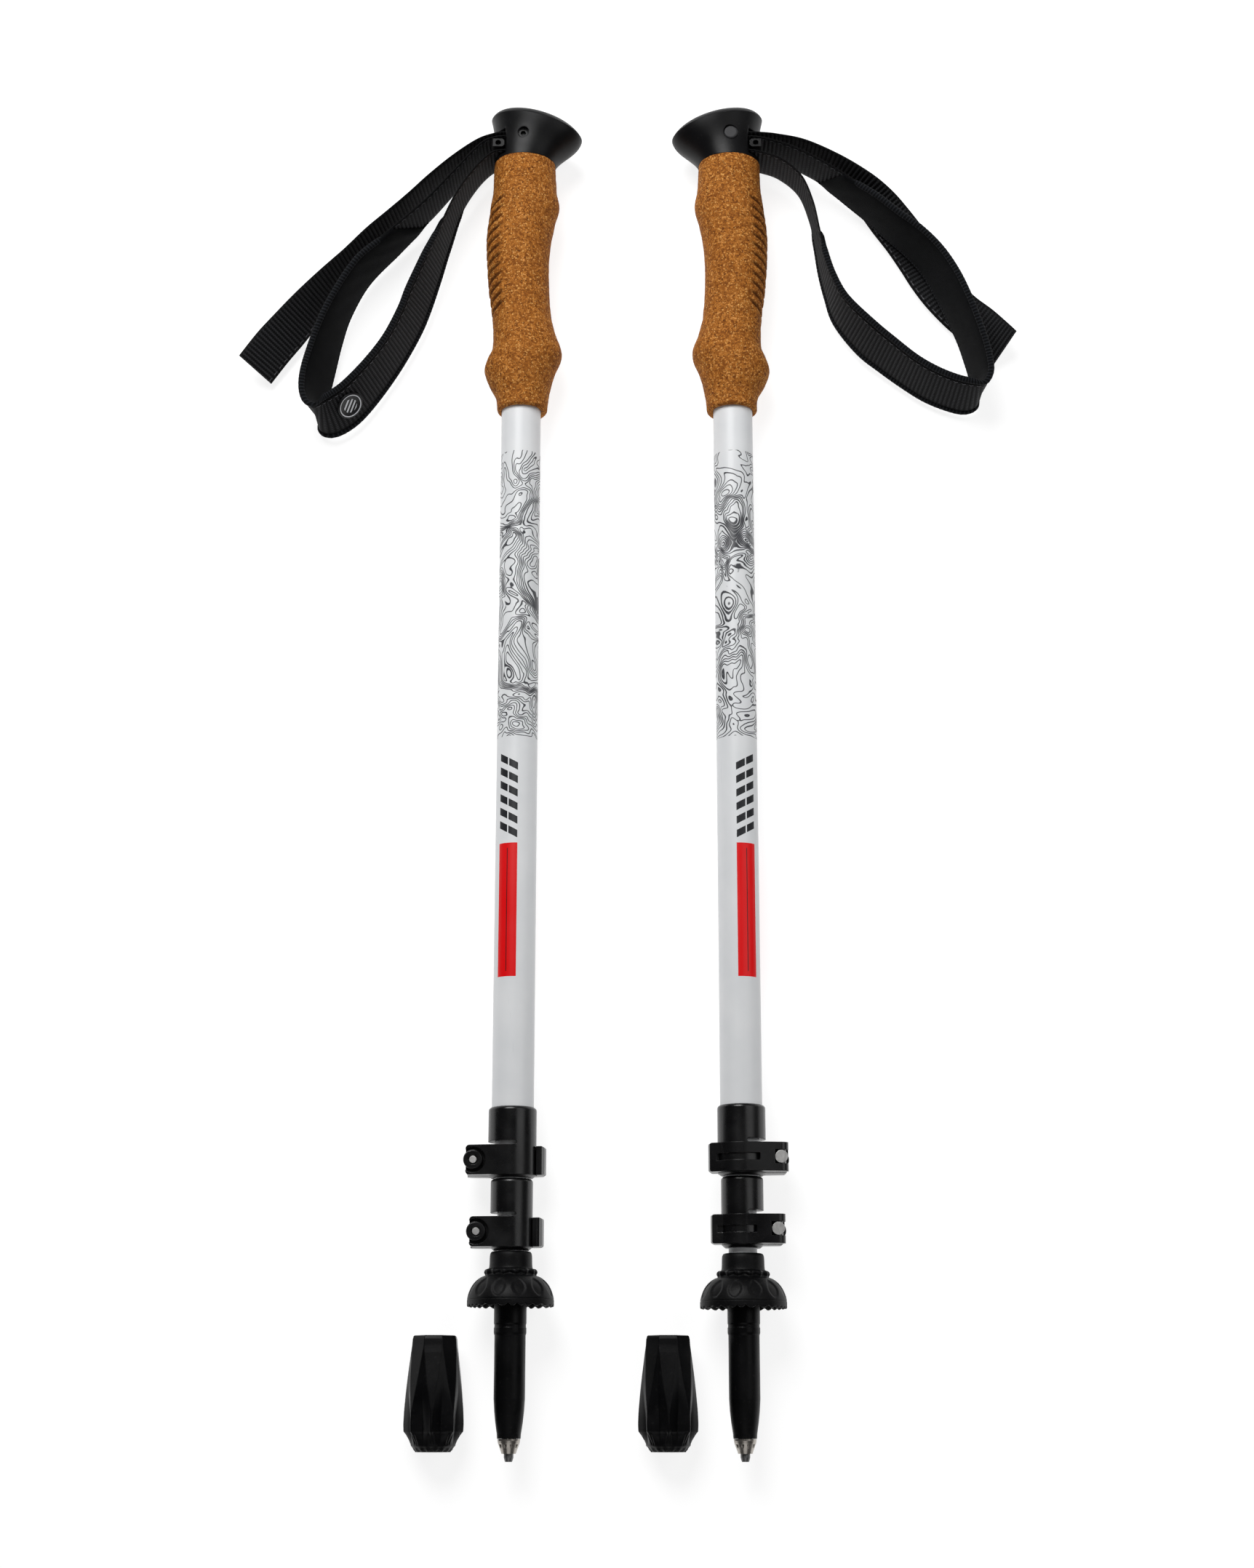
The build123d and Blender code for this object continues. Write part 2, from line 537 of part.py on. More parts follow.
def main():
    os.makedirs("parts", exist_ok=True)
    sides = {
        "left": (-POLE_SPACING / 2, 0, (LEFT_TAIL, LEFT_LOOP, LEFT_PAD, LEFT_BADGE_RUN)),
        "right": (POLE_SPACING / 2, 180, (RIGHT_TAIL, RIGHT_LOOP, RIGHT_PAD, RIGHT_BADGE_RUN)),
    }
    for side, (x, turn, strap) in sides.items():
        place = Pos(x, -POLE_LENGTH / 2, AXIS_HEIGHT) * Rot(0, turn, 0)
        for name, piece in pole_pieces(side, *strap).items():
            export_step(place * piece, f"parts/{side}_{name}.step")
        foot_place = Pos(x - FOOT_OFFSET, FOOT_LOW - POLE_LENGTH / 2, FOOT_RADIUS)
        export_step(foot_place * rubber_foot(), f"parts/{side}_rubber_foot.step")


main()
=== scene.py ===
"""Looks for a pair of collapsed trekking poles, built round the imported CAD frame.

Metres. +Y runs along the poles towards the heads and +Z is up off the surface. A pole's own
places are given in millimetres as (x, s, z): x from the strap side to the hook side, s from
the carbide tip along the pole, z out of the thumb-nut side.
"""

from math import atan2, cos, floor, hypot, pi, radians, sin

import bmesh
import bpy
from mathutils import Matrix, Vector, noise


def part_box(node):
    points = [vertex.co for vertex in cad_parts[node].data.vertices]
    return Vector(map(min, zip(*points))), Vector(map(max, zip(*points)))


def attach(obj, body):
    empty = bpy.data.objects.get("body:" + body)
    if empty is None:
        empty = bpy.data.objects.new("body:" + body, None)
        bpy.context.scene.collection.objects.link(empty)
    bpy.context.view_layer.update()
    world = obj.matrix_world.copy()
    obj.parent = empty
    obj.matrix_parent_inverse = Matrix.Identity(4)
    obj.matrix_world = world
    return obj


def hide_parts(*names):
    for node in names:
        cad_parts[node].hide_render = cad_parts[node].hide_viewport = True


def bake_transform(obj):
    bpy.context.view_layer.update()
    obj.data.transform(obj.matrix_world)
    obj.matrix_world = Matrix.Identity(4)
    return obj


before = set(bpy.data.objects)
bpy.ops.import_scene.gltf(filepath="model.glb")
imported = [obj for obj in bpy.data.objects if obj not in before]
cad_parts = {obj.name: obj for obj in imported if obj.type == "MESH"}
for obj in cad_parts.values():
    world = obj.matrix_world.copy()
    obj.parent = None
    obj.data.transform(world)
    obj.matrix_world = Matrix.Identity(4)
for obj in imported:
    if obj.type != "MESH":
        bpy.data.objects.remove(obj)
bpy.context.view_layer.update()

MM = 0.001
RIB_PITCH = 2.0                # of the webbing, along the strap
STITCH_PITCH = 1.5             # of the tape along the padding

# Print on the upper shaft: spans along the pole, and spans round the tube
CONTOUR_SPAN = (308.0, 443.0)
BLOCK_SPAN = (200.7, 259.6)
BLOCK_ARC = (-7.9, 1.0)
BARS_SPAN = (260.6, 297.3)
BARS_ARC = (-7.7, 0.9)
BAR_PITCH = 6.1
SHAFT_RADIUS = 9.0


# ---- places ----
class Pole:
    """Turns one pole's own millimetres into the row frame."""

    def __init__(self, side):
        low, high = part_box(side + "_upper_tube")
        tip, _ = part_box(side + "_carbide_tip")
        self.side = side
        self.sign = 1 if side == "left" else -1
        self.x = (low.x + high.x) / 2
        self.z = (low.z + high.z) / 2
        self.tip = tip.y

    def at(self, x, s, z):
        return Vector((self.x + self.sign * x * MM, self.tip + s * MM, self.z + self.sign * z * MM))

    def seen(self, out, s, height):
        """A place by its distance out from the pole's axis on the strap side and its height."""
        return Vector((self.x - self.sign * out * MM, self.tip + s * MM, height * MM))


POLES = [Pole("left"), Pole("right")]


# ---- meshes ----
def mesh_piece(name, points, faces, smooth=True):
    mesh = bpy.data.meshes.new(name)
    mesh.from_pydata([tuple(p) for p in points], [], faces)
    mesh.update()
    work = bmesh.new()
    work.from_mesh(mesh)
    bmesh.ops.recalc_face_normals(work, faces=work.faces)
    work.to_mesh(mesh)
    work.free()
    if smooth:
        mesh.shade_smooth()
    piece = bpy.data.objects.new(name, mesh)
    bpy.context.scene.collection.objects.link(piece)
    return piece


def skin(rows, close_rows=False, caps=False):
    """Faces over rows of points. Each row is a closed ring."""
    count = len(rows[0])
    faces = []
    last = len(rows) if close_rows else len(rows) - 1
    for i in range(last):
        a, b = i * count, ((i + 1) % len(rows)) * count
        for j in range(count):
            k = (j + 1) % count
            faces.append((a + j, a + k, b + k, b + j))
    if caps:
        faces.append(tuple(range(count)))
        faces.append(tuple(range((len(rows) - 1) * count, len(rows) * count)))
    return [p for row in rows for p in row], faces


def curve_through(knots, t):
    """A smooth value at t, in knot steps, by Catmull-Rom. Knots are tuples of numbers."""
    last = len(knots) - 1
    t = min(max(t, 0.0), last)
    i = min(int(floor(t)), last - 1)
    f = t - i
    a, b, c, d = (knots[min(max(k, 0), last)] for k in (i - 1, i, i + 1, i + 2))
    return tuple(
        0.5 * (2 * q + (r - p) * f + (2 * p - 5 * q + 4 * r - s) * f * f
               + (3 * q - p - 3 * r + s) * f ** 3)
        for p, q, r, s in zip(a, b, c, d)
    )


def table_at(rows, key):
    """The rows' other numbers at a key that lies between the first numbers of two rows."""
    for i, (low, high) in enumerate(zip(rows, rows[1:])):
        if key <= high[0]:
            break
    f = (key - low[0]) / (high[0] - low[0])
    return curve_through([row[1:] for row in rows], i + min(max(f, 0.0), 1.0))


def smooth(value):
    value = min(1.0, max(0.0, value))
    return value * value * (3 - 2 * value)


def put(piece, body, slot, *nodes):
    """Ride a finished piece on its body and replace the CAD nodes that it stands in for. The slot is not
    used.
    """
    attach(piece, body)
    if nodes:
        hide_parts(*nodes)
    return piece


# ---- materials ----
class Shader:
    """A material built from nodes, with short calls for the sums that patterns need."""

    def __init__(self, name, **inputs):
        self.material = bpy.data.materials.new(name)
        self.material.use_nodes = True
        self.tree = self.material.node_tree
        self.surface = self.tree.nodes["Principled BSDF"]
        for key, value in inputs.items():
            self.surface.inputs[key.replace("_", " ")].default_value = value
        self.coords = self.tree.nodes.new("ShaderNodeTexCoord").outputs["Object"]

    def node(self, kind, values=None, **settings):
        made = self.tree.nodes.new("ShaderNode" + kind)
        for key, value in settings.items():
            setattr(made, key, value)
        for key, value in (values or {}).items():
            self.feed(made.inputs[key], value)
        return made

    def feed(self, socket, value):
        if isinstance(value, bpy.types.NodeSocket):
            self.tree.links.new(value, socket)
        else:
            socket.default_value = value

    def sum(self, operation, *values, clamp=False):
        made = self.node("Math", operation=operation, use_clamp=clamp)
        for socket, value in zip(made.inputs, values):
            self.feed(socket, value)
        return made.outputs[0]

    def between(self, value, low, high):
        """1 where a value lies between two others."""
        return self.sum("MULTIPLY", self.sum("GREATER_THAN", value, low),
                        self.sum("LESS_THAN", value, high))

    def ramp(self, value, *stops):
        made = self.node("ValToRGB", {"Fac": value})
        ramp = made.color_ramp
        while len(ramp.elements) < len(stops):
            ramp.elements.new(0.5)
        for element, (place, colour) in zip(ramp.elements, stops):
            element.position = place
            level = (colour,) * 3 if isinstance(colour, (int, float)) else colour
            element.color = (*level, 1.0)
        return made.outputs["Color"]

    def spread(self, value, low, high, to_low=0.0, to_high=1.0):
        made = self.node("MapRange", {"Value": value, "From Min": low, "From Max": high,
                                      "To Min": to_low, "To Max": to_high})
        return made.outputs[0]

    def mix(self, factor, first, second):
        made = self.node("Mix", data_type="RGBA")
        for socket, value in zip((made.inputs[0], made.inputs[6], made.inputs[7]),
                                 (factor, first, second)):
            if isinstance(value, tuple):
                value = (*value, 1.0)
            self.feed(socket, value)
        return made.outputs[2]

    def noise(self, scale, detail=2.0, roughness=0.5, vector=None, distortion=0.0):
        made = self.node("TexNoise", {"Vector": vector or self.coords, "Scale": scale,
                                      "Detail": detail, "Roughness": roughness,
                                      "Distortion": distortion})
        return made.outputs["Fac"]

    def stretched(self, x, y, z, vector=None):
        made = self.node("VectorMath", operation="MULTIPLY")
        self.feed(made.inputs[0], vector or self.coords)
        self.feed(made.inputs[1], (x, y, z))
        return made.outputs[0]

    def value(self, name):
        """A number stored on the mesh."""
        return self.node("Attribute", attribute_name=name).outputs["Fac"]

    def bump(self, height, depth, strength=1.0, normal=None):
        values = {"Height": height, "Distance": depth, "Strength": strength}
        if normal is not None:
            values["Normal"] = normal
        return self.node("Bump", values).outputs["Normal"]

    def set(self, **inputs):
        for key, value in inputs.items():
            self.feed(self.surface.inputs[key.replace("_", " ")], value)
        return self

    def rounded(self, radius=0.0003):
        return self.node("Bevel", {"Radius": radius}, samples=4).outputs["Normal"]


def moulded(name, colour, rough, grain, depth, edge=0.0003, gloss=0.28):
    """Moulded plastic or rubber: fine grain, cloudy gloss and slightly worn edges."""
    made = Shader(name, Specular_IOR_Level=gloss)
    cloud = made.noise(90.0, 3.0)
    fine = made.noise(grain, 4.0, 0.6)
    tone = made.mix(made.spread(cloud, 0.3, 0.7), tuple(c * 0.8 for c in colour),
                    tuple(c * 1.25 for c in colour))
    dust = made.spread(made.noise(700.0, 2.0), 0.62, 0.80)
    tone = made.mix(made.sum("MULTIPLY", dust, 0.03), tone, (0.25, 0.24, 0.23))
    rough_map = made.spread(cloud, 0.3, 0.7, rough - 0.05, rough + 0.07)
    normal = made.bump(fine, depth, normal=made.rounded(edge))
    made.set(Base_Color=tone, Roughness=rough_map, Normal=normal)
    return made.material


def steel(name, colour, rough, scale):
    """Turned metal with a fine even grain."""
    made = Shader(name, Metallic=1.0)
    grain = made.noise(scale, 3.0, 0.6)
    tone = made.mix(made.spread(made.noise(260.0, 2.0), 0.3, 0.7),
                    tuple(c * 0.9 for c in colour), colour)
    made.set(Base_Color=tone, Roughness=made.spread(grain, 0.3, 0.7, rough - 0.04, rough + 0.06),
             Normal=made.bump(grain, 0.000008, normal=made.rounded(0.00015)))
    return made.material


def cork():
    """Pressed cork: orange-brown grains in many sizes with pale and dark flecks, and painted shade that
    darkens the palm grooves.
    """
    made = Shader("cork", Specular_IOR_Level=0.08)
    warped = made.node("VectorMath", operation="ADD")
    made.feed(warped.inputs[0], made.coords)
    wander = made.node("TexNoise", {"Vector": made.coords, "Scale": 900.0, "Detail": 2.0})
    shrunk = made.node("VectorMath", operation="SCALE")
    made.feed(shrunk.inputs[0], wander.outputs["Color"])
    shrunk.inputs["Scale"].default_value = 0.0010
    made.feed(warped.inputs[1], shrunk.outputs[0])
    place = warped.outputs[0]
    grain = made.node("TexVoronoi", {"Vector": place, "Scale": 1250.0})
    pick = made.node("SeparateColor", {"Color": grain.outputs["Color"]}).outputs[0]
    body = made.ramp(pick, (0.0, (0.190, 0.055, 0.008)), (0.25, (0.330, 0.108, 0.016)),
                     (0.55, (0.460, 0.165, 0.028)), (0.85, (0.580, 0.225, 0.044)),
                     (1.0, (0.690, 0.305, 0.080)))
    cloud = made.spread(made.noise(130.0, 3.0), 0.32, 0.68)
    body = made.mix(made.sum("MULTIPLY", cloud, 0.18), body, (0.330, 0.115, 0.024))
    flecks = made.node("TexVoronoi", {"Vector": place, "Scale": 860.0})
    chance = made.node("SeparateColor", {"Color": flecks.outputs["Color"]}).outputs[1]
    close = made.sum("LESS_THAN", flecks.outputs["Distance"], 0.33)
    pale = made.sum("MULTIPLY", close, made.sum("GREATER_THAN", chance, 0.68))
    dark = made.sum("MULTIPLY", close, made.sum("LESS_THAN", chance, 0.09))
    body = made.mix(made.sum("MULTIPLY", pale, 0.80), body, (0.820, 0.430, 0.125))
    body = made.mix(made.sum("MULTIPLY", dark, 0.80), body, (0.075, 0.024, 0.008))
    edges = made.node("TexVoronoi", {"Vector": place, "Scale": 1250.0}, feature="DISTANCE_TO_EDGE")
    seam = made.spread(edges.outputs["Distance"], 0.0, 0.09)
    body = made.mix(seam, (0.150, 0.048, 0.012), body)
    # Painted shade: the palm grooves are darkened almost to black, as shade would fall in them.
    body = made.mix(made.sum("MULTIPLY", made.value("groove"), 0.82), body, (0.070, 0.022, 0.006))
    height = made.sum("ADD", made.sum("MULTIPLY", seam, 0.5), made.sum("MULTIPLY", pick, 0.6))
    height = made.sum("SUBTRACT", height, made.sum("MULTIPLY", dark, 0.9))
    normal = made.bump(height, 0.00011, normal=made.bump(made.noise(260.0, 4.0, 0.65), 0.00045))
    made.set(Base_Color=body, Normal=normal,
             Roughness=made.spread(pick, 0.0, 1.0, 0.66, 0.82))
    return made.material


def contour_lines(made, scale, levels, width):
    """Lines of even width round the hills of a smooth noise, like a plain contour map."""
    step = 0.00025

    def hills(dx, dy, dz):
        moved = made.node("VectorMath", operation="ADD")
        made.feed(moved.inputs[0], made.coords)
        made.feed(moved.inputs[1], (dx, dy, dz))
        return made.noise(scale, 1.7, 0.50, vector=moved.outputs[0], distortion=0.6)

    here = hills(0, 0, 0)
    slopes = []
    for shift in ((step, 0, 0), (0, step, 0), (0, 0, step)):
        rise = made.sum("SUBTRACT", hills(*shift), here)
        slopes.append(made.sum("MULTIPLY", rise, rise))
    steep = made.sum("SQRT", made.sum("ADD", made.sum("ADD", slopes[0], slopes[1]), slopes[2]))
    steep = made.sum("MULTIPLY", made.sum("DIVIDE", steep, step), levels)
    phase = made.sum("FRACT", made.sum("MULTIPLY", here, levels))
    away = made.sum("SUBTRACT", 0.5, made.sum("ABSOLUTE", made.sum("SUBTRACT", phase, 0.5)))
    distance = made.sum("DIVIDE", away, made.sum("MAXIMUM", steep, 40.0))
    return made.spread(distance, width * 0.40, width * 0.65, 1.0, 0.0)


def shaft(pole, printed):
    """Satin white lacquer. The upper shaft has a printed contour band and side marks."""
    made = Shader(pole.side + ("_printed_shaft" if printed else "_plain_shaft"),
                  Specular_IOR_Level=0.28)
    parts = made.node("SeparateXYZ", {"Vector": made.coords})
    along = made.sum("MULTIPLY", made.sum("SUBTRACT", parts.outputs[1], pole.tip), 1000.0)
    side = made.sum("MULTIPLY", made.sum("SUBTRACT", parts.outputs[0], pole.x), 1000.0 * pole.sign)
    up = made.sum("MULTIPLY", made.sum("SUBTRACT", parts.outputs[2], pole.z), 1000.0)
    around = made.sum("ARCTAN2", side, made.sum("ABSOLUTE", up))
    arc = made.sum("MULTIPLY", around, SHAFT_RADIUS)
    cloud = made.noise(60.0, 3.0)
    white = made.mix(made.spread(cloud, 0.3, 0.7), (0.755, 0.770, 0.785), (0.810, 0.820, 0.830))
    scuff = made.noise(240.0, 5.0, 0.7, vector=made.stretched(1.0, 0.08, 1.0))
    marks = made.sum("MULTIPLY", made.spread(scuff, 0.66, 0.76), 0.18)
    white = made.mix(marks, white, (0.35, 0.36, 0.38))
    if printed:
        lines = contour_lines(made, 52.0, 30.0, 0.00036)
        band = made.between(along, *CONTOUR_SPAN)
        white = made.mix(made.sum("MULTIPLY", made.sum("MULTIPLY", lines, band), 0.95), white,
                         (0.020, 0.021, 0.028))
        red = made.sum("MULTIPLY", made.between(along, *BLOCK_SPAN), made.between(arc, *BLOCK_ARC))
        keyline = made.sum("MULTIPLY", made.between(along, 203.0, 257.3),
                           made.between(arc, -3.65, -3.25))
        white = made.mix(red, white, (0.800, 0.004, 0.006))
        white = made.mix(made.sum("MULTIPLY", red, keyline), white, (0.09, 0.008, 0.010))
        slant = made.sum("ADD", along, made.sum("MULTIPLY", arc, 0.55))
        beat = made.sum("FRACT", made.sum("DIVIDE", slant, BAR_PITCH))
        bars = made.sum("MULTIPLY", made.sum("LESS_THAN", beat, 0.55),
                        made.between(slant, *BARS_SPAN))
        bars = made.sum("MULTIPLY", bars, made.between(arc, *BARS_ARC))
        gap = made.sum("SUBTRACT", 1.0, made.between(arc, -3.7, -3.1))
        white = made.mix(made.sum("MULTIPLY", bars, gap), white, (0.018, 0.019, 0.022))
    grain = made.noise(1800.0, 3.0)
    made.set(Base_Color=white, Roughness=made.spread(cloud, 0.3, 0.7, 0.30, 0.40),
             Normal=made.bump(grain, 0.000012, normal=made.rounded(0.0001)))
    return made.material


def ribbed_webbing():
    """Black webbing whose ribs are in the mesh, with a pale stitch line near one edge. The weave is
    painted light on the rib crests and dark in the troughs: painted highlight and shade.
    """
    made = Shader("webbing", Specular_IOR_Level=0.12, Sheen_Weight=0.02, Sheen_Roughness=0.45)
    along, across, raised = made.value("along"), made.value("across"), made.value("raised")
    row = made.sum("FLOOR", made.sum("DIVIDE", along, RIB_PITCH))
    stagger = made.sum("MULTIPLY", made.sum("MODULO", row, 2.0), pi)
    thread = made.sum("SINE", made.sum("ADD", made.sum("MULTIPLY", across, 2 * pi / 1.05), stagger))
    # Painted highlight and shade: the weave threads show light only where the rib is raised, and the
    # troughs between ribs are painted near black.
    knots = made.sum("MULTIPLY", made.spread(thread, -1.6, 1.0), raised)
    worn = made.spread(made.noise(160.0, 3.0), 0.35, 0.7)
    tone = made.mix(knots, (0.0012, 0.0012, 0.0015), (0.042, 0.043, 0.046))
    tone = made.mix(made.sum("MULTIPLY", worn, 0.08), tone, (0.016, 0.016, 0.018))
    on_tail = made.sum("LESS_THAN", along, 170.0)
    low_line = made.sum("MULTIPLY", on_tail, made.between(across, -8.75, -8.35))
    high_line = made.sum("MULTIPLY", made.sum("SUBTRACT", 1.0, on_tail),
                         made.between(across, 8.35, 8.75))
    dash = made.sum("LESS_THAN", made.sum("FRACT", made.sum("DIVIDE", along, 2 * RIB_PITCH)), 0.55)
    stitch = made.sum("MULTIPLY", made.sum("ADD", low_line, high_line), dash)
    tone = made.mix(made.sum("MULTIPLY", stitch, 0.8), tone, (0.12, 0.12, 0.13))
    fibre = made.noise(6000.0, 2.0)
    normal = made.bump(knots, 0.00020, normal=made.bump(fibre, 0.00005))
    made.set(Base_Color=tone, Roughness=0.66, Normal=normal)
    return made.material


def soft_lining():
    """Brushed knit with a fuzzy surface."""
    made = Shader("lining", Specular_IOR_Level=0.08, Sheen_Weight=0.03, Sheen_Roughness=0.4)
    fuzz = made.noise(2600.0, 5.0, 0.7)
    patch = made.noise(220.0, 3.0)
    tone = made.mix(made.spread(fuzz, 0.35, 0.75), (0.0010, 0.0010, 0.0013), (0.0050, 0.0055, 0.0065))
    tone = made.mix(made.sum("MULTIPLY", made.spread(patch, 0.4, 0.7), 0.2), tone,
                    (0.007, 0.008, 0.010))
    made.set(Base_Color=tone, Roughness=0.88, Normal=made.bump(fuzz, 0.00022))
    return made.material


def binding_tape():
    """The narrow knitted tape along the padding's edges, with a stitch every 1.5 mm, painted lighter on
    each stitch ridge as a highlight.
    """
    made = Shader("binding", Specular_IOR_Level=0.12, Sheen_Weight=0.05, Sheen_Roughness=0.35)
    along = made.value("along")
    beat = made.sum("SINE", made.sum("MULTIPLY", along, 2 * pi / STITCH_PITCH))
    fuzz = made.noise(3500.0, 4.0, 0.7)
    # Painted highlight: each stitch ridge is painted lighter and the dips between stitches are painted
    # dark.
    light = made.sum("MULTIPLY", made.spread(beat, -0.2, 1.0), made.spread(fuzz, 0.3, 0.7))
    tone = made.mix(light, (0.0025, 0.0028, 0.0035), (0.030, 0.033, 0.039))
    height = made.sum("ADD", made.sum("MULTIPLY", beat, 0.5), fuzz)
    made.set(Base_Color=tone, Roughness=0.85, Normal=made.bump(height, 0.00022))
    return made.material


def badge_print(pole, centre, axis):
    """A plain ring round slanted stripes, on a black rubber badge."""
    made = Shader(pole.side + "_badge_print", Specular_IOR_Level=0.3)
    shift = made.node("VectorMath", operation="SUBTRACT")
    made.feed(shift.inputs[0], made.coords)
    made.feed(shift.inputs[1], tuple(centre))
    length = made.node("VectorMath", operation="LENGTH")
    made.feed(length.inputs[0], shift.outputs[0])
    far = made.sum("MULTIPLY", length.outputs["Value"], 1000.0)
    ring = made.between(far, 5.35, 5.85)
    slope = made.node("VectorMath", operation="DOT_PRODUCT")
    made.feed(slope.inputs[0], shift.outputs[0])
    made.feed(slope.inputs[1], tuple(axis))
    height = made.sum("MULTIPLY", slope.outputs["Value"], 1000.0)
    stripes = made.sum("LESS_THAN", made.sum("FRACT", made.sum("DIVIDE", height, 1.9)), 0.45)
    middle = made.sum("MULTIPLY", made.sum("LESS_THAN", far, 3.7), stripes)
    mark = made.sum("MAXIMUM", ring, middle)
    made.set(Base_Color=made.mix(mark, (0.004, 0.004, 0.005), (0.62, 0.63, 0.66)),
             Roughness=made.spread(made.noise(900.0, 3.0), 0.3, 0.7, 0.38, 0.55),
             Normal=made.bump(made.sum("ADD", mark, made.noise(1500.0)), 0.00006))
    return made.material


def paper():
    """The pale floor."""
    made = Shader("floor", Specular_IOR_Level=0.1)
    tone = made.mix(made.spread(made.noise(3.0, 2.0), 0.3, 0.7), (0.30, 0.30, 0.30),
                    (0.31, 0.31, 0.31))
    made.set(Base_Color=tone, Roughness=0.9, Emission_Color=(1.0, 1.0, 1.0, 1.0),
             Emission_Strength=0.84)
    return made.material


BLACK = (0.0016, 0.0016, 0.0020)
MATERIALS = {
    "head": moulded("head_rubber", (0.0024, 0.0024, 0.0029), 0.40, 2600.0, 0.00003, 0.0006, 0.20),
    "lock": moulded("lock_plastic", BLACK, 0.27, 2200.0, 0.00002, 0.0004, 0.5),
    "basket": moulded("basket_plastic", (0.0022, 0.0022, 0.0026), 0.44, 1500.0, 0.00006, 0.0005, 0.14),
    "ferrule": moulded("ferrule_plastic", (0.0016, 0.0016, 0.0019), 0.38, 1800.0, 0.00004, 0.0003, 0.16),
    "foot": moulded("foot_rubber", (0.0014, 0.0014, 0.0018), 0.36, 1700.0, 0.00003, 0.0003, 0.16),
    "inner": moulded("inner_plastic", (0.030, 0.030, 0.032), 0.50, 1500.0, 0.00004),
    "bright": steel("bright_steel", (0.95, 0.94, 0.92), 0.34, 1500.0),
    "steel": steel("steel", (0.46, 0.43, 0.39), 0.30, 900.0),
    "dark_steel": steel("dark_steel", (0.16, 0.16, 0.16), 0.35, 1500.0),
    "carbide": steel("carbide", (0.20, 0.20, 0.20), 0.42, 2500.0),
    "cork": cork(),
    "webbing": ribbed_webbing(),
    "lining": soft_lining(),
    "binding": binding_tape(),
}


def paint(node, material):
    """Give a CAD node or a piece one material."""
    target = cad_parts[node] if isinstance(node, str) else node
    target.data.materials.clear()
    target.data.materials.append(material)


NODE_LOOKS = {
    "grip_head": "head", "grip_core": "inner", "strap_pin": "ferrule", "strap_pin_nut": "inner",
    "strap_wedge": "ferrule", "upper_lock_collar": "lock", "upper_lock_lever": "lock",
    "upper_lock_bolt": "bright", "upper_lock_barrel": "dark_steel", "upper_lock_nut": "lock",
    "middle_guide_bush": "inner", "lower_lock_collar": "lock", "lower_lock_lever": "lock",
    "lower_lock_bolt": "bright", "lower_lock_barrel": "dark_steel", "lower_lock_nut": "lock",
    "lower_guide_bush": "inner", "basket": "basket", "tip_ferrule": "ferrule",
    "tip_sleeve": "steel", "carbide_tip": "carbide",
}
for pole in POLES:
    for part, look in NODE_LOOKS.items():
        paint(f"{pole.side}_{part}", MATERIALS[look])
    paint(pole.side + "_upper_tube", shaft(pole, True))
    plain = shaft(pole, False)
    paint(pole.side + "_middle_tube", plain)
    paint(pole.side + "_lower_tube", plain)


# ---- cork grip ----
# Height, reach to the strap side, reach to the hook side, half depth.
CORK_ROWS = [
    (464.8, 11.1, 11.9, 11.5), (472.0, 11.7, 12.5, 12.0), (479.0, 15.2, 13.8, 13.6),
    (485.5, 17.2, 15.7, 14.6), (491.0, 15.8, 18.0, 14.9), (496.0, 13.7, 18.2, 14.5),
    (503.0, 13.4, 15.7, 13.8), (512.0, 14.0, 13.5, 13.5), (525.0, 15.7, 12.4, 13.7),
    (540.0, 16.9, 12.2, 14.0), (552.0, 17.2, 13.2, 14.2), (561.0, 16.5, 14.9, 14.4),
    (569.0, 15.5, 16.8, 14.4), (576.0, 14.5, 15.6, 14.2), (590.5, 14.0, 14.8, 14.0),
]
GRIP_BORE = 9.05
GROOVES = [512.0 + 4.8 * i for i in range(12)]
GROOVE_REACH = radians(58)
GROOVE_DEPTH = 1.05
GROOVE_HALF_WIDTH = 1.1
GROOVE_SLANT = 4.8              # rise for each radian away from the strap side


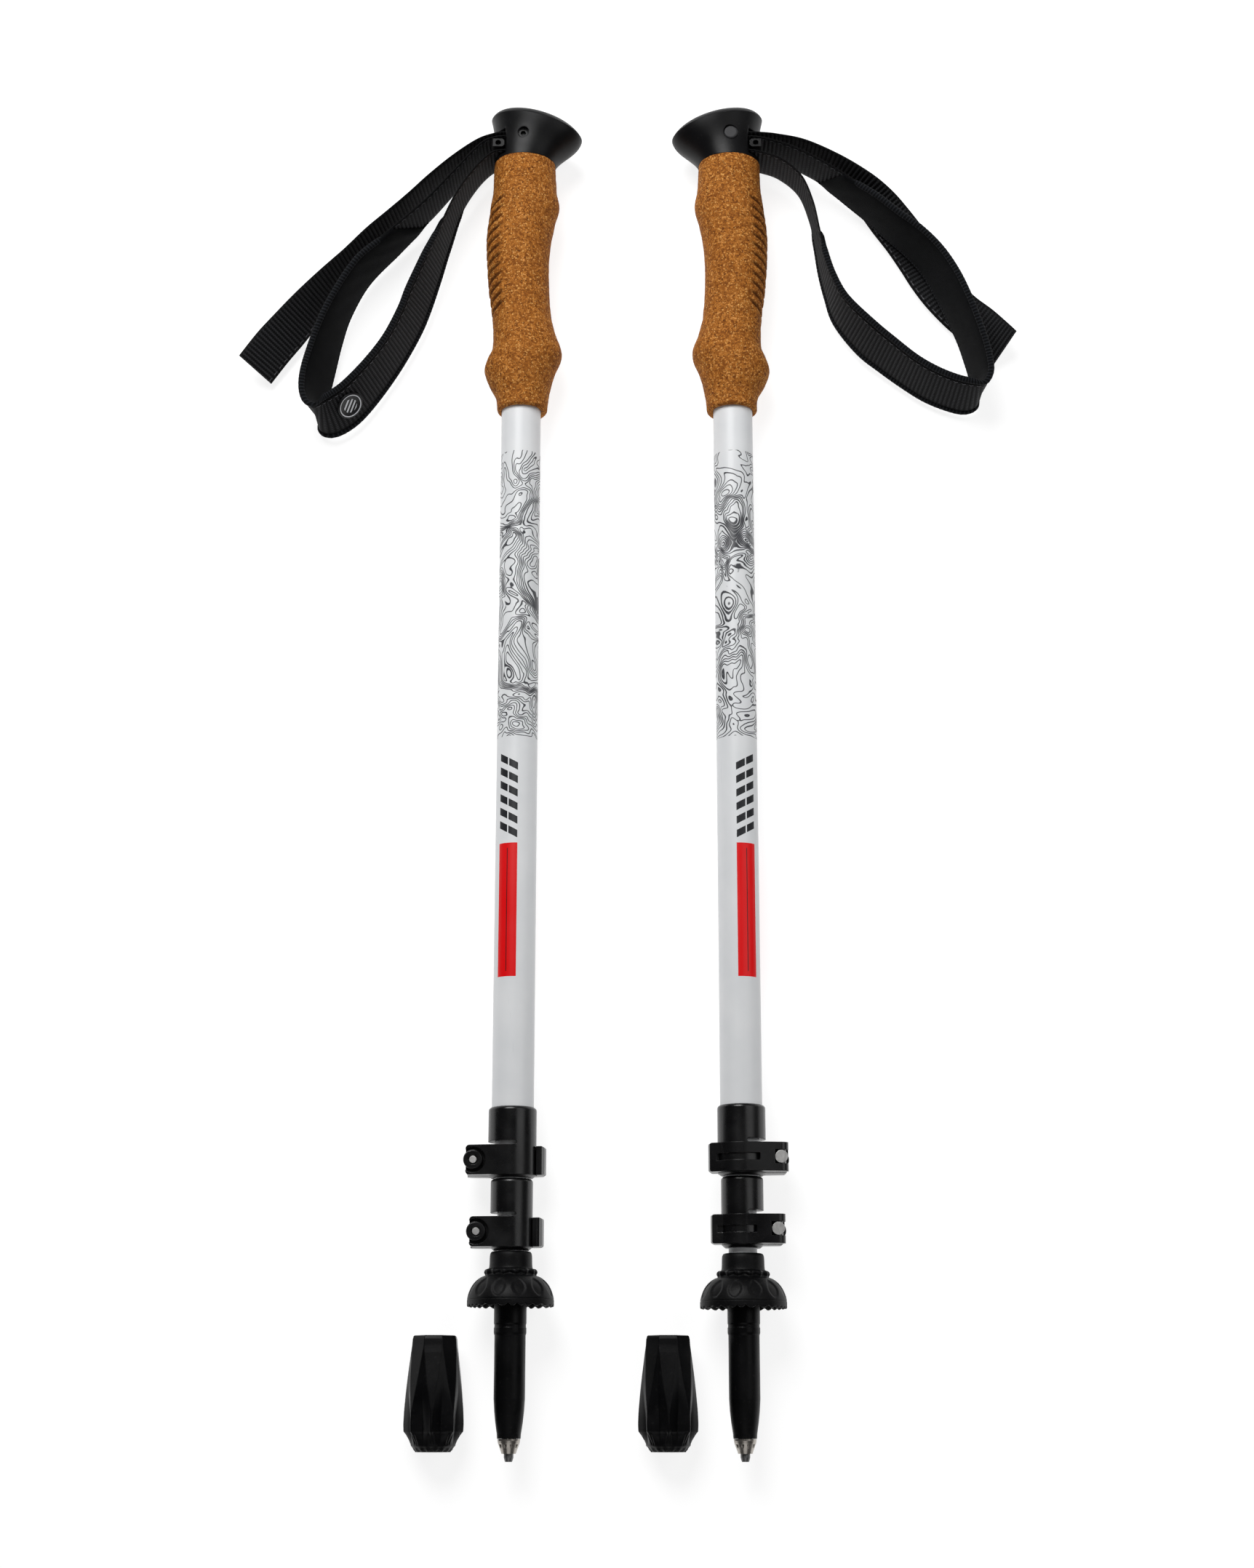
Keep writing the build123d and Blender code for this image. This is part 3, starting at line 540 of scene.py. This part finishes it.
def cork_grip(pole):
    """The cork sleeve with its palm grooves and a rolled lower edge."""
    around, first, last = 160, CORK_ROWS[0][0], CORK_ROWS[-1][0]
    steps = 400
    rings, groove_shade = [], []
    for i in range(steps + 1):
        s = first + (last - first) * i / steps
        strap, hook, depth = table_at(CORK_ROWS, s)
        tuck = 0.0
        if s - first < 1.6:
            tuck = 1.6 - (1.6 ** 2 - (1.6 - (s - first)) ** 2) ** 0.5
        ring = []
        for j in range(around):
            angle = 2 * pi * j / around
            reach = hook if cos(angle) > 0 else strap
            x, z = (reach - tuck) * cos(angle), (depth - tuck) * sin(angle)
            off = abs(atan2(sin(angle), -cos(angle)))
            cut = 0.0
            if off < GROOVE_REACH:
                fade = min(1.0, (GROOVE_REACH - off) / 0.25)
                for groove in GROOVES:
                    away = abs(s - groove - GROOVE_SLANT * off)
                    cut = max(cut, fade * GROOVE_DEPTH * max(0.0, 1 - (away / GROOVE_HALF_WIDTH) ** 2))
            where = Vector((x, s, z + (100 if pole.sign < 0 else 0)))
            rough = 0.10 * noise.noise(where * 1.1) + 0.16 * noise.noise(where * 0.22)
            scale = 1 + (rough - cut) / hypot(x, z)
            ring.append(pole.at(x * scale, s, z * scale))
            # How deep this point lies in a groove; it sets the painted shade in the grooves.
            groove_shade.append(min(1.0, 1.4 * cut / GROOVE_DEPTH))
        rings.append(ring)
    bore_low = [pole.at(GRIP_BORE * cos(2 * pi * j / around), first + 0.6,
                        GRIP_BORE * sin(2 * pi * j / around)) for j in range(around)]
    bore_high = [pole.at(GRIP_BORE * cos(2 * pi * j / around), last,
                         GRIP_BORE * sin(2 * pi * j / around)) for j in range(around)]
    rings = [bore_low] + rings + [bore_high]
    piece = mesh_piece(pole.side + "_cork", *skin(rings, close_rows=True))
    layer = piece.data.attributes.new("groove", "FLOAT", "POINT")
    layer.data.foreach_set("value", [0.0] * around + groove_shade + [0.0] * around)
    paint(piece, MATERIALS["cork"])
    return put(piece, pole.side + "_upper", "cork", pole.side + "_cork_grip")


# ---- straps ----
# out, s, height, lean in degrees from upright, and the way that the top leans, in degrees
# from straight out, turning up the pole.
STRAPS = {
    "left": {
        "tail": [
            (124.8, 490.5, 9.5, 55, 40), (117.0, 501.5, 10.0, 55, 39), (109.0, 511.2, 10.8, 49, 38),
            (100.0, 522.2, 12.2, 36, 38), (90.5, 533.0, 13.8, 24, 38), (81.0, 543.0, 14.8, 17, 38),
            (71.0, 553.5, 15.8, 15, 38), (62.0, 562.5, 16.5, 10, 38), (53.0, 571.5, 17.2, 6, 38),
            (44.0, 581.0, 17.8, 3, 38), (33.0, 591.2, 18.2, 1, 60), (22.0, 599.5, 18.2, 0, 60),
            (14.0, 602.7, 18.2, 0, 60), (8.0, 603.6, 18.2, 0, 60),
        ],
        "loop": [
            (8.0, 594.4, 18.2, 0, 60), (15.0, 592.9, 18.2, 0, 60), (23.0, 584.5, 18.2, 1, 50),
            (31.0, 571.0, 18.2, 4, 40), (37.5, 554.0, 17.8, 9, 30), (43.0, 538.0, 17.2, 15, 20),
            (48.5, 522.8, 16.4, 20, 18), (52.4, 512.0, 16.0, 19, 22), (59.2, 498.0, 15.6, 18, 30),
            (67.4, 485.4, 15.2, 21, 36), (76.6, 473.8, 15.0, 26, 46), (83.5, 467.6, 14.8, 29, 48),
            (90.0, 464.2, 14.8, 28, 50), (94.8, 465.4, 14.8, 26, 48), (96.8, 471.5, 14.8, 25, 40),
            (96.2, 481.0, 14.8, 25, 26), (93.8, 492.5, 15.0, 23, 20), (90.0, 507.0, 15.6, 18, 20),
            (84.8, 521.0, 16.2, 12, 25), (75.5, 537.5, 17.0, 8, 40), (61.0, 553.0, 17.6, 5, 50),
            (45.0, 568.5, 18.0, 3, 55), (31.0, 585.3, 18.2, 1, 60), (20.2, 597.7, 18.2, 0, 60),
            (13.0, 601.1, 18.2, 0, 60), (5.0, 601.6, 18.2, 0, 60),
        ],
        "pad": (2.6, 20.9),
        "slant": 22.0,
        "badge": 10.45,
    },
    "right": {
        "tail": [
            (128.1, 501.7, 8.5, 48, 44), (122.5, 508.0, 7.0, 58, 42), (116.8, 514.3, 5.8, 68, 40),
            (109.0, 521.8, 4.8, 78, 38), (100.6, 531.6, 4.3, 84, 36), (94.6, 540.5, 4.3, 85, 34),
            (89.6, 549.4, 4.7, 82, 34), (83.2, 559.4, 6.2, 74, 36), (76.6, 567.8, 8.0, 62, 38),
            (70.0, 575.2, 10.8, 46, 38), (62.0, 582.4, 14.2, 28, 38), (50.0, 591.0, 17.2, 11, 38),
            (35.0, 599.0, 18.2, 3, 38), (22.0, 602.4, 18.2, 0, 38), (14.0, 603.3, 18.2, 0, 38),
            (8.0, 603.6, 18.2, 0, 38),
        ],
        "loop": [
            (8.0, 594.4, 18.2, 0, 60), (15.0, 593.1, 18.2, 0, 60), (24.0, 589.5, 18.2, 0, 60),
            (33.0, 581.0, 18.2, 0, 50), (38.0, 568.0, 18.2, 1, 30), (40.8, 554.0, 18.0, 1, 20),
            (43.2, 540.0, 17.6, 2, 20), (46.1, 529.0, 17.0, 4, 30), (51.2, 517.0, 16.4, 11, 36),
            (62.3, 503.8, 15.6, 18, 46), (72.0, 495.2, 15.2, 17, 50), (82.4, 486.7, 15.0, 15, 53),
            (92.0, 480.4, 15.0, 16, 60), (101.5, 476.2, 15.0, 16, 70), (109.0, 474.4, 15.0, 16, 68),
            (114.6, 475.8, 15.0, 13, 55), (116.6, 481.5, 15.2, 13, 40), (115.7, 488.8, 15.6, 14, 20),
            (113.8, 496.8, 16.4, 15, 18), (110.8, 506.4, 17.4, 15, 18), (106.0, 519.0, 18.2, 17, 20),
            (101.0, 530.6, 18.4, 17, 25), (94.8, 541.8, 18.4, 14, 32), (86.5, 551.8, 18.4, 11, 38),
            (76.0, 561.3, 18.4, 7, 40), (60.5, 575.5, 18.2, 4, 45), (45.0, 587.0, 18.2, 2, 50),
            (30.0, 595.6, 18.2, 1, 50), (18.0, 600.0, 18.2, 0, 50), (12.0, 601.2, 18.2, 0, 50),
            (5.0, 601.5, 18.2, 0, 50),
        ],
        "pad": (4.2, 26.2),
        "slant": 15.0,
        "badge": 19.6,
    },
}
RIB_DEPTH = 0.46
WEB_HALF_THICKNESS = 0.68
WEB_WIDTH = 20.0
PAD_WIDTH = 24.5


def run_points(knots, spacing, start=0.0, end=None):
    """Evenly spaced (row, distance) samples of a smooth run through the knots."""
    end = len(knots) - 1 if end is None else end
    fine = 3000
    rows = [curve_through(knots, start + (end - start) * i / fine) for i in range(fine + 1)]
    distance, marks = 0.0, [0.0]
    for a, b in zip(rows, rows[1:]):
        distance += hypot(b[0] - a[0], b[1] - a[1], b[2] - a[2])
        marks.append(distance)
    count = max(2, int(round(distance / spacing)))
    picked, k = [], 0
    for i in range(count + 1):
        goal = distance * i / count
        while k < fine - 1 and marks[k + 1] < goal:
            k += 1
        span = marks[k + 1] - marks[k]
        f = (goal - marks[k]) / span if span else 0.0
        picked.append((tuple(p + (q - p) * f for p, q in zip(rows[k], rows[k + 1])), goal))
    return picked


def frames_along(pole, samples):
    """Centre, width direction and face direction at each sample, in the row frame."""
    found = []
    centres = [pole.seen(*row[:3]) for row, _ in samples]
    for i, (row, goal) in enumerate(samples):
        lean, turn = radians(row[3]), radians(row[4])
        wide = Vector((-pole.sign * sin(lean) * cos(turn), sin(lean) * sin(turn), cos(lean)))
        ahead = centres[min(i + 1, len(centres) - 1)] - centres[max(i - 1, 0)]
        ahead.normalize()
        wide = (wide - ahead * wide.dot(ahead)).normalized()
        face = ahead.cross(wide).normalized() * pole.sign
        found.append((centres[i], wide, face, goal))
    return found


def frame_at(frames, goal):
    """The centre, width direction and face direction at a distance along the frames."""
    total = frames[-1][3]
    place = min(max(goal / total, 0.0), 1.0) * (len(frames) - 1)
    i = min(int(place), len(frames) - 2)
    f = place - i
    return tuple(a.lerp(b, f) for a, b in zip(frames[i][:3], frames[i + 1][:3]))


def band(name, frames, outline, reach=None):
    """A band with a closed outline for each frame, given as (across, out of face, raised).

    Reach gives, for a place across, the distances where the band starts and ends there.
    """
    rows, values = [], {"across": [], "along": [], "raised": []}
    total = frames[-1][3]
    for _, _, _, goal in frames:
        ring = []
        for a, b, raised in outline(goal):
            start, end = reach(a) if reach else (0.0, total)
            distance = start + (end - start) * goal / total
            centre, wide, face = frame_at(frames, distance)
            ring.append(centre + wide * (a * MM) + face * (b * MM))
            values["across"].append(a)
            values["along"].append(distance)
            values["raised"].append(raised)
        rows.append(ring)
    piece = mesh_piece(name, *skin(rows, caps=True))
    for title, numbers in values.items():
        layer = piece.data.attributes.new(title, "FLOAT", "POINT")
        layer.data.foreach_set("value", numbers)
    return piece


def webbing_outline(goal):
    """Ribs on both faces, staggered, that fade into the woven edges."""
    columns = 12
    phase = 2 * pi * goal / RIB_PITCH
    shape = []
    for direction in (1, -1):
        for i in range(columns + 1):
            t = (2 * i / columns - 1) * direction
            a = t * WEB_WIDTH / 2
            edge = max(0.0, 1 - abs(t) ** 10)
            rib = RIB_DEPTH * 0.5 * (1 + cos(phase + (0 if direction > 0 else pi)))
            b = (WEB_HALF_THICKNESS * (0.35 + 0.65 * edge) - (RIB_DEPTH - rib) * edge)
            # The third value, how far the rib is raised here, drives the painted highlight on the rib
            # crests and the painted shade between them.
            shape.append((a, b * direction, rib / RIB_DEPTH * edge))
    return shape


def strap(pole):
    data = STRAPS[pole.side]
    turn = [(-3.2, 603.6, 18.2, 0, 90), (-4.6, 599.0, 18.2, 0, 90), (-3.2, 594.4, 18.2, 0, 90)]
    whole = data["tail"] + turn + data["loop"]
    samples = run_points(whole, RIB_PITCH / 8)
    piece = band(pole.side + "_webbing", frames_along(pole, samples), webbing_outline)
    paint(piece, MATERIALS["webbing"])
    length = samples[-1][1]
    return piece, length


def narrowed(goal, total):
    """How much narrower the padding is near its ends."""
    return 0.80 + 0.20 * smooth(min(goal, total - goal) / 24.0)


def slanted_reach(slant, across, total):
    """Where the padding starts and ends, at a place across it: its upper edge is shorter."""
    inset = slant * (across + PAD_WIDTH / 2) / PAD_WIDTH
    return inset, total - inset


def padding(pole):
    """The lining, a little wider than the webbing and thickest along its middle."""
    data = STRAPS[pole.side]
    samples = run_points(data["loop"], 0.9, *data["pad"])
    total = samples[-1][1]
    columns = 22

    def outline(goal):
        ends = min(1.0, goal / 3.0, (total - goal) / 3.0)
        ends = max(0.05, ends) ** 0.5
        half = PAD_WIDTH / 2 * narrowed(goal, total)
        shape = []
        for i in range(columns + 1):
            t = 2 * i / columns - 1
            bulge = (1 - abs(t) ** 3) ** 0.5
            quilt = 0.10 * sin(goal / 2.3 + 3 * t) * (1 - t * t)
            shape.append((t * half, 0.55 + (0.35 + 1.35 * bulge + quilt) * ends, 0.0))
        for i in range(columns + 1):
            t = 1 - 2 * i / columns
            shape.append((t * half, 0.52, 0.0))
        return shape

    piece = band(pole.side + "_padding", frames_along(pole, samples), outline,
                 lambda a: slanted_reach(data["slant"], a, total))
    paint(piece, MATERIALS["lining"])
    return piece, total, samples


def bindings(pole, samples):
    """The rolled tape on each edge of the padding, wrapped over the webbing's edge."""
    made = []
    frames = frames_along(pole, samples)
    slant, total = STRAPS[pole.side]["slant"], samples[-1][1]
    around = 14
    for tag, side in (("low", -1), ("high", 1)):

        def outline(goal, side=side):
            shape = []
            for i in range(around):
                angle = 2 * pi * i / around
                ripple = 1 + 0.035 * sin(2 * pi * goal / STITCH_PITCH + angle)
                ripple *= 0.35 + 0.65 * smooth(min(goal, total - goal) / 9.0)
                a = side * (PAD_WIDTH / 2 * narrowed(goal, total) - 0.9) + 1.35 * cos(angle) * ripple
                b = 0.35 + 1.45 * sin(angle) * ripple
                shape.append((a, b, 0.0))
            return shape

        edge = side * PAD_WIDTH / 2
        piece = band(f"{pole.side}_binding_{tag}", frames, outline,
                     lambda a, edge=edge: slanted_reach(slant, edge, total))
        paint(piece, MATERIALS["binding"])
        made.append(piece)
    return made


def badge(pole):
    """A round rubber badge with a raised rim, sewn to the outside of the loop."""
    data = STRAPS[pole.side]
    at = data["badge"]
    samples = run_points(data["loop"], 1.0, at - 0.2, at + 0.2)
    centre, wide, face, _ = frames_along(pole, samples)[len(samples) // 2]
    side = wide.cross(face)
    out = -face
    rows = []
    for radius, lift in ((6.5, 0.0), (6.5, 0.55), (6.2, 0.85), (5.3, 0.85), (5.1, 0.65), (0.02, 0.65)):
        rows.append([centre + out * ((WEB_HALF_THICKNESS + lift) * MM)
                     + (wide * cos(2 * pi * i / 72) + side * sin(2 * pi * i / 72)) * (radius * MM)
                     for i in range(72)])
    piece = mesh_piece(pole.side + "_badge", *skin(rows, caps=True))
    paint(piece, badge_print(pole, centre, (wide * 0.8 + side * 0.6).normalized()))
    return put(piece, pole.side + "_strap", "badge", pole.side + "_strap_badge")


for pole in POLES:
    cork_grip(pole)
    web, web_length = strap(pole)
    pad, pad_length, pad_samples = padding(pole)
    rims = bindings(pole, pad_samples)
    upper, swing = pole.side + "_upper", pole.side + "_strap"
    start, end = pole.seen(15.0, 598.0, 18.2), pole.seen(26.0, 590.0, 18.2)
    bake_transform(web)
    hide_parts(pole.side + "_strap_webbing")
    put(pad, swing, "padding", pole.side + "_strap_padding")
    for rim in rims:
        put(rim, swing, "padding")
    badge(pole)


# ---- basket and rubber feet ----
def trail_basket(pole):
    """A dome basket: collar, scalloped flange, leaf-shaped hollows and a toothed rim."""
    low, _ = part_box(pole.side + "_basket")
    rim = (low.y - pole.tip) / MM
    scallops, hollows, teeth, around = 14, 12, 27, 336
    outside = [(6.95, 22.9), (7.5, 23.0), (8.2, 22.8), (8.7, 22.1), (8.9, 20.6), (9.0, 17.4),
               (9.3, 16.0), (10.3, 15.8), (11.0, 15.2), (11.2, 14.3), (10.8, 13.4), (11.0, 13.0),
               (12.3, 12.5), (13.7, 11.6), (15.0, 10.4), (16.1, 9.0), (17.0, 7.3), (17.7, 5.4),
               (18.1, 3.6), (17.95, 3.2), (18.2, 2.9), (18.2, 1.0), (18.0, 0.4)]
    inside = [(17.4, 0.2), (16.9, 0.6), (16.8, 2.8), (16.1, 5.6), (14.2, 8.4), (12.0, 10.2),
              (9.4, 11.4), (6.95, 11.4)]
    steps = 5
    profile = [curve_through(outside, i / steps) + (1,) for i in range((len(outside) - 1) * steps + 1)]
    profile += [point + (0,) for point in inside]
    rings = []
    for radius, height, outer in profile:
        ring = []
        for j in range(around):
            angle = 2 * pi * j / around
            r, h = radius, height
            if outer and 13.2 < height < 16.0 and radius > 9.4:
                wave = 0.5 - 0.5 * cos(scallops * angle)
                r -= 0.9 * wave * smooth((radius - 9.4) / 1.0)
                h += 0.7 * wave * smooth((16.0 - height) / 2.0)
            t = (height - 3.9) / 8.3
            if outer and 0.0 < t < 1.0:
                v = abs(((angle * hollows / (2 * pi)) % 1.0) - 0.5) * 2
                leaf = 0.06 + 0.72 * sin(pi * t) ** 0.8
                dip = 0.5 * smooth((leaf - v) / 0.30) * smooth(t * 6) * smooth((1 - t) * 6)
                r -= dip * 0.75
                h -= dip * 0.55
            if height < 1.1:
                beat = 0.5 + 0.5 * cos(teeth * angle + 1.4 * sin(5 * angle))
                h += 1.1 * beat ** 1.6 * (1.1 - height)
            r = min(r, 18.19)
            ring.append(pole.at(r * cos(angle), rim + h, r * sin(angle)))
        rings.append(ring)
    piece = mesh_piece(pole.side + "_dome_basket", *skin(rings, close_rows=True))
    paint(piece, MATERIALS["basket"])
    return put(piece, pole.side + "_basket", "basket_plastic", pole.side + "_basket")


def rubber_foot(pole):
    """A bell-shaped rubber tip whose facets fold into ridges, and a lugged sole."""
    low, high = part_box(pole.side + "_rubber_foot")
    cx, cz, y0 = (low.x + high.x) / 2, (low.z + high.z) / 2, low.y
    length = (high.y - low.y) / MM
    around, steps, lobes, bore, depth = 256, 150, 8, 6.6, 36.0
    bell = [(0.0, 7.2), (0.8, 7.9), (2.4, 9.0), (7.6, 11.8), (9.6, 12.24), (13.0, 12.24),
            (20.0, 11.8), (30.0, 11.0), (40.0, 10.1), (45.6, 9.6), (46.6, 9.3), (47.0, 8.9)]

    def circle(r, s):
        return [Vector((cx + r * MM * cos(2 * pi * j / around), y0 + s * MM,
                        cz + r * MM * sin(2 * pi * j / around))) for j in range(around)]

    rings = []
    for i in range(steps + 1):
        s = length * i / steps
        radius, = table_at(bell, s)
        climb = min(1.0, max(0.0, (s - 15.0) / 28.0))
        facet = 0.05 + 0.95 * climb
        flute = (0.4 + 2.3 * smooth((31.0 - s) / 22.0)) * smooth((s - 1.0) / 8.0) * (1 - climb)
        ring = []
        for j in range(around):
            angle = 2 * pi * j / around
            u = abs(((angle * lobes / (2 * pi) + 0.5) % 1.0) - 0.5) * 2
            r = radius * 1.02 * cos(min(1.0, facet) * pi / lobes) / cos(min(u, facet) * pi / lobes)
            if u > facet:
                r -= flute * ((u - facet) / (1 - facet)) ** 0.75
            notch = smooth((0.30 - u) / 0.12) * smooth((s - 2.6) / 1.0) * smooth((8.4 - s) / 2.0)
            r -= 0.5 * notch
            if s < 2.4:
                r -= 0.7 * (0.5 + 0.5 * cos(angle * lobes * 2)) * (1 - s / 2.4)
            ring.append(Vector((cx + r * MM * cos(angle), y0 + s * MM, cz + r * MM * sin(angle))))
        rings.append(ring)
    mouth = [circle(8.4, length - 0.05), circle(7.0, length - 0.1), circle(bore, length - 0.5),
             circle(bore, length - depth), circle(bore * 0.5, length - depth - 1.0),
             circle(0.02, length - depth - 1.2)]
    sole = [circle(0.02, 0.35), circle(3.0, 0.45), circle(4.6, 0.9), circle(6.2, 1.4),
            circle(7.4, 0.5)]
    piece = mesh_piece(pole.side + "_foot_rubber", *skin(sole + rings + mouth, caps=True))
    paint(piece, MATERIALS["foot"])
    return put(piece, pole.side + "_foot", "foot_rubber", pole.side + "_rubber_foot")


for pole in POLES:
    trail_basket(pole)
    rubber_foot(pole)


# ---- stage ----
floor_mesh = bpy.data.meshes.new("floor")
floor_mesh.from_pydata([(-4, -4, 0), (4, -4, 0), (4, 4, 0), (-4, 4, 0)], [], [(0, 1, 2, 3)])
floor_piece = bpy.data.objects.new("floor", floor_mesh)
bpy.context.scene.collection.objects.link(floor_piece)
paint(floor_piece, paper())


def area_light(name, place, aim, size, watts, colour=(1, 1, 1)):
    data = bpy.data.lights.new(name, "AREA")
    data.shape, data.size, data.energy, data.color = "DISK", size, watts, colour
    lamp = bpy.data.objects.new(name, data)
    bpy.context.scene.collection.objects.link(lamp)
    lamp.location = place
    lamp.rotation_euler = (Vector(aim) - Vector(place)).to_track_quat("-Z", "Y").to_euler()


area_light("key", (-0.30, 0.75, 1.05), (0, 0.18, 0), 0.8, 14.5)
area_light("fill", (1.0, 0.3, 1.2), (0, 0.1, 0), 1.2, 4.0)
area_light("front", (0.0, -1.2, 1.2), (0, 0, 0), 1.2, 2.6)

world = bpy.data.worlds.new("studio")
world.use_nodes = True
world.node_tree.nodes["Background"].inputs["Color"].default_value = (1.0, 1.0, 1.0, 1.0)
world.node_tree.nodes["Background"].inputs["Strength"].default_value = 0.05
bpy.context.scene.world = world
bpy.context.scene.view_settings.view_transform = "Standard"

camera_data = bpy.data.cameras.new("camera")
camera_data.sensor_width = 36.0
camera_data.lens = 55.1
camera = bpy.data.objects.new("camera", camera_data)
bpy.context.scene.collection.objects.link(camera)
camera.location = (0.0, -0.2914, 1.0432)
camera.rotation_euler = (radians(14.79), 0.0, 0.0)
bpy.context.scene.camera = camera
